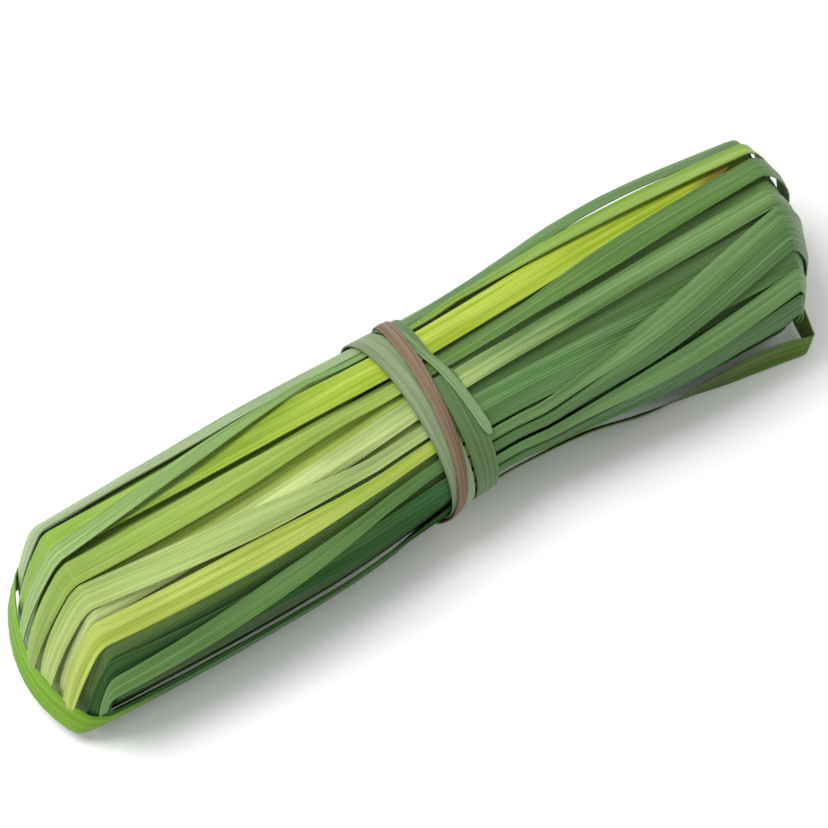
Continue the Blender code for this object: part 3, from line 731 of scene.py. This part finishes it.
def crossing_blade(number, end, at_tie, at_end, half, lift, start, stop, keel):
    """start and stop are its colours at the tie and at its tip."""
    side = -1.0 if end == "left" else 1.0
    across = spread(10)
    section = Section(keel=keel * MM)
    rise = CROSSING_RISE - CROSSING_TOUCH
    rim = rise + (LEFT_RIM if side < 0 else RIGHT_RIM)
    radius = OUTER_FOLD + rise
    first = LEFT_START if side < 0 else RIGHT_START
    run = CrossingRun(first, end, at_end, at_tie, at_end, half, lift=lift * MM,
                      lift_at=side * LIFT_MIDDLE)
    below = CrossingRun(end, first, 360.0 - at_end, 360.0 - at_tie, 360.0 - at_end, half)
    stations = run_stations(first, side * (rim - radius))
    rows = [side_row(x, run, 1.0, 0.0, section, across) for x in stations[:-1]]
    turn = fold_rows(run, below, side, rim, radius, 0.0, section, 1.0, 0.0, across)
    bend = turn[:BEND_STEPS + 1]
    top, foot = bend[-1], turn[-BEND_STEPS - 1]
    rows += bend
    middle = len(across) // 2
    for k in range(1, HANG_STEPS + 1):
        share = k / HANG_STEPS
        width = 1.0 - (1.0 - CROSSING_TIP) * share ** 2
        row = [a.lerp(b, CROSSING_HANG * share) for a, b in zip(top, foot)]
        rows.append([row[middle].lerp(point, width) for point in row])
    places = [[hank_shape(point) for point in row] for row in rows]
    sheet = blade_sheet(f"blade_crossing_{number}", places, across, from_axis)
    seed = CROSSING_SEED + number
    finish = leaf_finish(f"narrow crossing blade {number}", start, stop, seed=seed)
    dress(sheet, f"leaf_crossing_{number}", finish, Thickness=0.38 * MM, Rib_Height=0.10 * MM,
          Ripple_Height=0.20 * MM, Edge_Wave=0.15 * MM, Seed=seed)


for number, values in enumerate(CROSSING, start=1):
    crossing_blade(number, *values)
print(len(CROSSING), "crossing blades,", sum(triangle_counts), "triangles")

# %% [markdown]
# The bright leaf goes round the outside of the left end, over the folds of all the others there.
# Its two runs come out of gaps low on the sides, as the crossing blades do.

# %% The bright leaf round the left end
WRAP_OUT = 1.8 * MM            # how far outside the left rim it crosses that end
WRAP_TILT = -2.6 * MM          # its upper edge leans in over the folds
wrap_near = CrossingRun(LEFT_START, "left", 205, 214, 214, 5.5)
wrap_far = CrossingRun("left", LEFT_START, 335, 338, 338, 5.5)
fold_blade("leaf_end_wrap", [wrap_near, wrap_far], 0.0, (LEFT_RIM + WRAP_OUT, RIGHT_RIM),
           OUTER_FOLD + WRAP_OUT, Section(tilt=WRAP_TILT), end_bright, Seed=8.0, **WIDE)

# %% [markdown]
# ## The loose loop
# One leaf springs out beside the right end and lies on the surface in a loop, standing on its
# edge. Its first stations follow the hank's side. The others are its lower and upper edges, and
# a smooth curve is drawn through them.

# %% The loop blade
LOOP_SIDE = ((-3.0, 202.0), (9.0, 202.5), (20.0, 204.0), (42.0, 209.0))     # mm and degrees
LOOP_HALF = 6.0            # half of its width beside the hank, in degrees
LOOP_FREE = (
    # lower edge and upper edge in mm, from the hank's axis
    ((62.0, -22.2, 2.6), (61.5, -26.3, 8.4)),
    ((80.0, -24.5, 0.5), (79.5, -26.2, 6.6)),
    ((91.0, -27.2, 0.5), (91.5, -26.4, 6.6)),
    ((100.5, -29.0, 0.5), (102.0, -26.4, 6.2)),
    ((111.5, -31.0, 0.5), (112.5, -28.2, 6.2)),
    ((117.5, -32.2, 0.5), (118.0, -30.5, 6.8)),
    ((120.0, -31.5, 0.5), (121.2, -31.6, 7.2)),
    ((121.2, -28.5, 0.5), (122.7, -28.8, 7.2)),
    ((123.0, -22.5, 0.5), (125.2, -23.2, 7.0)),
    ((125.0, -17.5, 0.5), (127.5, -18.2, 6.6)),
)
LOOP_STEPS = 5             # points from one place to the next


def through(places, steps):
    """Points of a smooth curve through the places."""
    points = []
    last = len(places) - 1
    for k in range(last):
        p0, p1, p2, p3 = (places[min(max(i, 0), last)] for i in (k - 1, k, k + 1, k + 2))
        for s in range(steps):
            t = s / steps
            points.append(0.5 * (2 * p1 + (p2 - p0) * t + (2 * p0 - 5 * p1 + 4 * p2 - p3) * t * t
                                 + (3 * p1 - p0 - 3 * p2 + p3) * t ** 3))
    points.append(places[-1])
    return points


loop_low = [hank_shape(oval_point(x * MM, degrees + LOOP_HALF, 0.0)) for x, degrees in LOOP_SIDE]
loop_high = [hank_shape(oval_point(x * MM, degrees - LOOP_HALF, 0.0)) for x, degrees in LOOP_SIDE]
loop_low += [Vector(low) * MM + BOX_SHIFT for low, high in LOOP_FREE]
loop_high += [Vector(high) * MM + BOX_SHIFT for low, high in LOOP_FREE]
loop_across = spread(12)
loop_places = [[low.lerp(high, (share + 1.0) / 2) for share in loop_across]
               for low, high in zip(through(loop_low, LOOP_STEPS), through(loop_high, LOOP_STEPS))]
loop = blade_sheet("blade_loop", loop_places, loop_across, from_axis)
dress(loop, "leaf_loop", loop_olive, Thickness=0.40 * MM, Rib_Height=0.12 * MM, Ripple_Height=0.15 * MM,
      Edge_Wave=0.10 * MM, Seed=7.0)
print("loop has", len(loop_places), "stations")

# %% [markdown]
# ## The layers beneath
# Inside the single blades lie six layers. Each blade there goes once round the hank, and its two
# ends are caught under the tie. The places come from a seeded rule, the same one that the part
# uses, so each blade lies where its solid is. Each blade is also tilted like a tile, so that one
# edge slides under its neighbour.

# %% Layer finishes
FIRST_LAYER = (
    # colours of the run right of the tie and of the run left of it
    ("#628a46", "#8fa86c"), ("#8aa648", "#83a350"), ("#8ca646", "#9ab850"), ("#6f9450", "#a8be48"),
    ("#5f8649", "#b8c868"), ("#628a4a", "#70964a"), ("#5a8246", "#48703a"), ("#4c7038", "#3a5a30"),
)
TURN_BELOW = (0.3, 0.7)    # a blade's colour goes over along its run on the underside
first_finishes = [leaf_finish(f"lemongrass blade {k + 1}", start, end, turn=TURN_BELOW, seed=10.0 + k,
                              fleck=0.2 if k == 4 else 0.0, painted_half_shade=0.45 * (-1) ** k)
                  for k, (start, end) in enumerate(FIRST_LAYER)]
INNER_COLOURS = (
    ("#4f7338", "#5a7d40"), ("#3a5c2e", "#33542c"), ("#5f8048", "#688a50"), ("#2c4a28", "#33522c"),
)
inner_finishes = [leaf_finish(f"inner lemongrass blade {k + 1}", start, end, seed=30.0 + k)
                  for k, (start, end) in enumerate(INNER_COLOURS)]
print(len(first_finishes) + len(inner_finishes), "finishes for the layers")

# %% Layers
LAYERS = (
    # depth, blades over the top, twist, half of a blade's width as a share of its spacing
    (2.0 * MM, 7, -5.0, 0.42),
    (4.0 * MM, 6, 4.0, 0.42),
    (6.5 * MM, 5, -4.0, 0.40),
    (9.0 * MM, 4, 3.0, 0.38),
    (12.0 * MM, 3, -2.0, 0.37),
    (15.0 * MM, 3, 2.0, 0.36),
)
FIRST_LAYER_END = 2.0 * MM     # the first layer folds this far inside the rim
LAYER_END_STEP = 3.3 * MM      # from one layer's folds to the next layer's
SIDE_BLADE_END = 1.75 * MM     # a side blade crosses the end this far inside its layer's folds
SIDE_LANE = 16.0               # the blades over the top keep this far, in degrees, from the sides
SIDE_HALF = 12.0               # half of a side blade, in degrees
SIDE_BLADE_LAYERS = 5          # the innermost layer has no blade round its sides
FIRST_SIDE_LOW = 3.0           # the first one lies this much lower, in degrees, to close a gap
MOST_SWAY = 2.5                # degrees
UNEVEN = 0.4 * MM              # how unevenly a layer's blades fold
THIN = dict(Thickness=0.40 * MM, Rib_Height=0.10 * MM, Edge_Wave=0.15 * MM)
rng = random.Random(7)


def layer_blade(number, index, runs, depth, inset):
    """The two outermost layers show most, so their blades are tilted and widened more."""
    first = number == 1
    near_top = number < 3
    inner = inner_finishes[(index + number) % len(inner_finishes)]
    finish = first_finishes[index - 1] if first else inner
    section = Section(tilt=1.0 * MM if near_top else 0.6 * MM, keel=0.8 * MM * (index % 2),
                      grow=1.24 if near_top else 1.12)
    fold_blade(f"leaf_layer{number}_{index}", runs, depth, (LEFT_RIM - inset, RIGHT_RIM - inset),
               LAYER_FOLD, section, finish, count=12 if near_top else 6, slant=0.3 * MM * (index % 2),
               Ripple_Height=0.22 * MM if first else 0.12 * MM, Seed=20.0 + 10 * number + index, **THIN)


for number, (depth, count, twist, fill) in enumerate(LAYERS, start=1):
    spacing = (180.0 - 2.0 * SIDE_LANE) / count
    sway = rng.uniform(-MOST_SWAY, MOST_SWAY)
    end = FIRST_LAYER_END + LAYER_END_STEP * (number - 1)
    for k in range(count):
        middle = SIDE_LANE + (k + 0.5) * spacing
        if number == 1:
            rng.uniform(0.0, UNEVEN)       # the part's rule draws a crease here, so the draws agree
        inset = end + rng.uniform(0.0, UNEVEN)
        half = spacing * fill
        run = Run(RIGHT_START, "right", middle - twist, middle, middle + twist, half, sway=sway)
        back = Run("left", LEFT_START, middle - twist, middle, middle + twist, half, sway=sway)
        layer_blade(number, k + 1, [run, run.mirrored("right", "left"), back], depth, inset)
    if number <= SIDE_BLADE_LAYERS:
        low = FIRST_SIDE_LOW if number == 1 else 0.0
        side, half = 180.0 + low, SIDE_HALF + low / 2
        side_runs = [Run(RIGHT_START, "right", side, side, side, half),
                     Run("right", "left", 0.0, 0.0, 0.0, SIDE_HALF),
                     Run("left", LEFT_START, side, side, side, half)]
        layer_blade(number, count + 1, side_runs, depth, end + SIDE_BLADE_END)
print("layers done,", sum(triangle_counts), "triangles")

# %% [markdown]
# ## The tie
# Strips torn from leaves hold the hank: a pale one, a green one whose narrow free end lies over
# the leaves, and a dry brown one that crosses both on a slant. They are leaf too, but torn
# lengthwise and drying, so they are matt and fibrous.

# %% Tie finishes and strips
TIE_THICK = 0.65 * MM      # thickness of a strip's solid
TIE_CLEAR = 0.6 * MM       # between the outermost blades and the tie
TIE_STEP = 0.95 * MM       # from one wrap of the tie to the wrap over it
TIE_DEGREES = 3.0          # from one station to the next
TIP_AT = 142.0             # the green strip's free end, in degrees
TIP_ROUND = 7.0            # and the length over which it is rounded
TIP_BLUNT = 0.35           # width of its very tip, as a share
dry_brown = leaf_finish("dry brown leaf strip", "#917b62", "#86715a", rib="#ac997c", edge="#5a4a38",
                        streak_and_highlight=0.9, vein=0.55, roughness=0.66, seed=50.0)
pale_strip = leaf_finish("pale grey-green leaf strip", "#7f9468", "#8fa37a", rib="#a9b990", edge="#6a7d54",
                         streak_and_highlight=0.6, vein=0.3, roughness=0.55, seed=51.0)
green_strip = leaf_finish("green leaf strip", "#86a870", "#5f7f4c", rib="#a4bd88", edge="#587545",
                          turn=(0.0, 0.4), streak_and_highlight=0.6, vein=0.25, roughness=0.5, seed=52.0)


def tie_strip(node, start, stop, place, level, width, finish, seed, arch=0.15 * MM):
    """A strip through the given degrees. place, level and width give its middle along X, its
    wrap number and its width at each. arch is how much lower its edges lie than its middle."""
    across = spread(10)
    count = round(abs(stop - start) / TIE_DEGREES)
    places = []
    for k in range(count + 1):
        degrees = start + (stop - start) * k / count
        out = TIE_CLEAR + TIE_THICK + TIE_STEP * level(degrees)
        half = width(degrees) / 2
        row = [oval_point(place(degrees) + share * half, degrees, arch * share * share - out)
               for share in across]
        places.append([hank_shape(point) for point in row])
    sheet = blade_sheet(node.replace("tie_", "strip_"), places, across, from_axis)
    dress(sheet, node, finish, Thickness=0.42 * MM, Rib_Height=0.0, Ripple_Height=0.16 * MM,
          Ripples_per_Metre=70.0, Edge_Wave=0.14 * MM, Seed=seed)


def tie_slant(d):
    """Both inner strips lean this way: their tops on the far side lie further right."""
    return 1.5 * MM * math.cos(math.radians(d - 24.0))


def green_width(d):
    """Narrow where the green strip lies over itself, with a rounded tip."""
    tip = TIP_BLUNT + (1.0 - TIP_BLUNT) * math.sqrt(slide(d, TIP_AT, TIP_AT - TIP_ROUND))
    return (7.6 * MM - 4.6 * MM * slide(d, 40.0, 80.0)) * tip


tie_strip("tie_pale", -88.0, 268.0, lambda d: -4.2 * MM + tie_slant(d),
          lambda d: 0.0, lambda d: 8.0 * MM, pale_strip, 51.0)
tie_strip("tie_green", TIP_AT, -262.0,
          lambda d: 4.6 * MM + tie_slant(d) + 4.0 * MM * slide(d, 80.0, TIP_AT),
          lambda d: slide(d, 84.0, 96.0), green_width, green_strip, 52.0)
tie_strip("tie_brown", -60.0, 282.0, lambda d: 6.0 * MM - 15.0 * MM * (d - 24.0) / 180.0,
          lambda d: 1.0, lambda d: 4.6 * MM - 1.4 * MM * slide(d, 60.0, 200.0), dry_brown, 50.0,
          arch=0.35 * MM)
print("everything folded,", sum(triangle_counts), "triangles, most in a piece", max(triangle_counts))

# %% [markdown]
# ## Floor, light and camera
# The photo was taken on white, in soft light from the upper left, looking down on the bundle.

# %% Floor
floor_mesh = bpy.data.meshes.new("floor")
FLOOR_HALF = 4.0           # metres
floor_mesh.from_pydata([(-FLOOR_HALF, -FLOOR_HALF, 0.0), (FLOOR_HALF, -FLOOR_HALF, 0.0),
                        (FLOOR_HALF, FLOOR_HALF, 0.0), (-FLOOR_HALF, FLOOR_HALF, 0.0)], [], [(0, 1, 2, 3)])
floor = bpy.data.objects.new("floor", floor_mesh)
bpy.context.scene.collection.objects.link(floor)
paper = bpy.data.materials.new("white paper")
paper.use_nodes = True
paper.node_tree.nodes["Principled BSDF"].inputs["Base Color"].default_value = linear("#fdfdfd")
paper.node_tree.nodes["Principled BSDF"].inputs["Roughness"].default_value = 0.9
floor_mesh.materials.append(paper)
floor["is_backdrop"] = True

# %% Light
world = bpy.data.worlds.new("soft studio")
bpy.context.scene.world = world
world.use_nodes = True
world.node_tree.nodes["Background"].inputs["Color"].default_value = linear("#ffffff")
world.node_tree.nodes["Background"].inputs["Strength"].default_value = 0.68
bpy.context.scene.view_settings.view_transform = "Standard"


def soft_light(name, place, size, watts):
    """A round lamp at the place, turned towards the bundle."""
    data = bpy.data.lights.new(name, "AREA")
    data.shape = "DISK"
    data.size = size
    data.energy = watts
    lamp = bpy.data.objects.new(name, data)
    bpy.context.scene.collection.objects.link(lamp)
    lamp.location = place
    lamp.rotation_mode = "QUATERNION"
    lamp.rotation_quaternion = Vector(place).to_track_quat("Z", "Y")


soft_light("key", (-0.45, 0.35, 1.05), 0.7, 9.0)

# %% Camera
AZIMUTH = -35.0
ELEVATION = 55.0
LENS = 95.0
SENSOR = 36.0
FRAME_PIXELS = 828
MM_PER_PIXEL = 0.287
PHOTO_CENTRE = (428, 430)      # where the middle of the hank's axis lies in the photo, in pixels

azimuth = math.radians(AZIMUTH)
elevation = math.radians(ELEVATION)
back = Vector((math.sin(azimuth) * math.cos(elevation), -math.cos(azimuth) * math.cos(elevation),
               math.sin(elevation)))
right = Vector((math.cos(azimuth), math.sin(azimuth), 0.0))
up = back.cross(right)
pixel = MM_PER_PIXEL * MM
camera_data = bpy.data.cameras.new("camera")
camera_data.lens = LENS
camera_data.sensor_width = SENSOR
camera = bpy.data.objects.new("camera", camera_data)
bpy.context.scene.collection.objects.link(camera)
aim = BOX_SHIFT + Vector((0.0, 0.0, AXIS_HEIGHT))
aim += right * ((FRAME_PIXELS / 2 - PHOTO_CENTRE[0]) * pixel)
aim += up * ((PHOTO_CENTRE[1] - FRAME_PIXELS / 2) * pixel)
camera.location = aim + back * (FRAME_PIXELS * pixel * LENS / SENSOR)
camera.rotation_mode = "QUATERNION"
camera.rotation_quaternion = back.to_track_quat("Z", "Y")
bpy.context.scene.camera = camera
print("camera at", [round(c, 3) for c in camera.location])

# %% Sizes and finish
low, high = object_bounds()
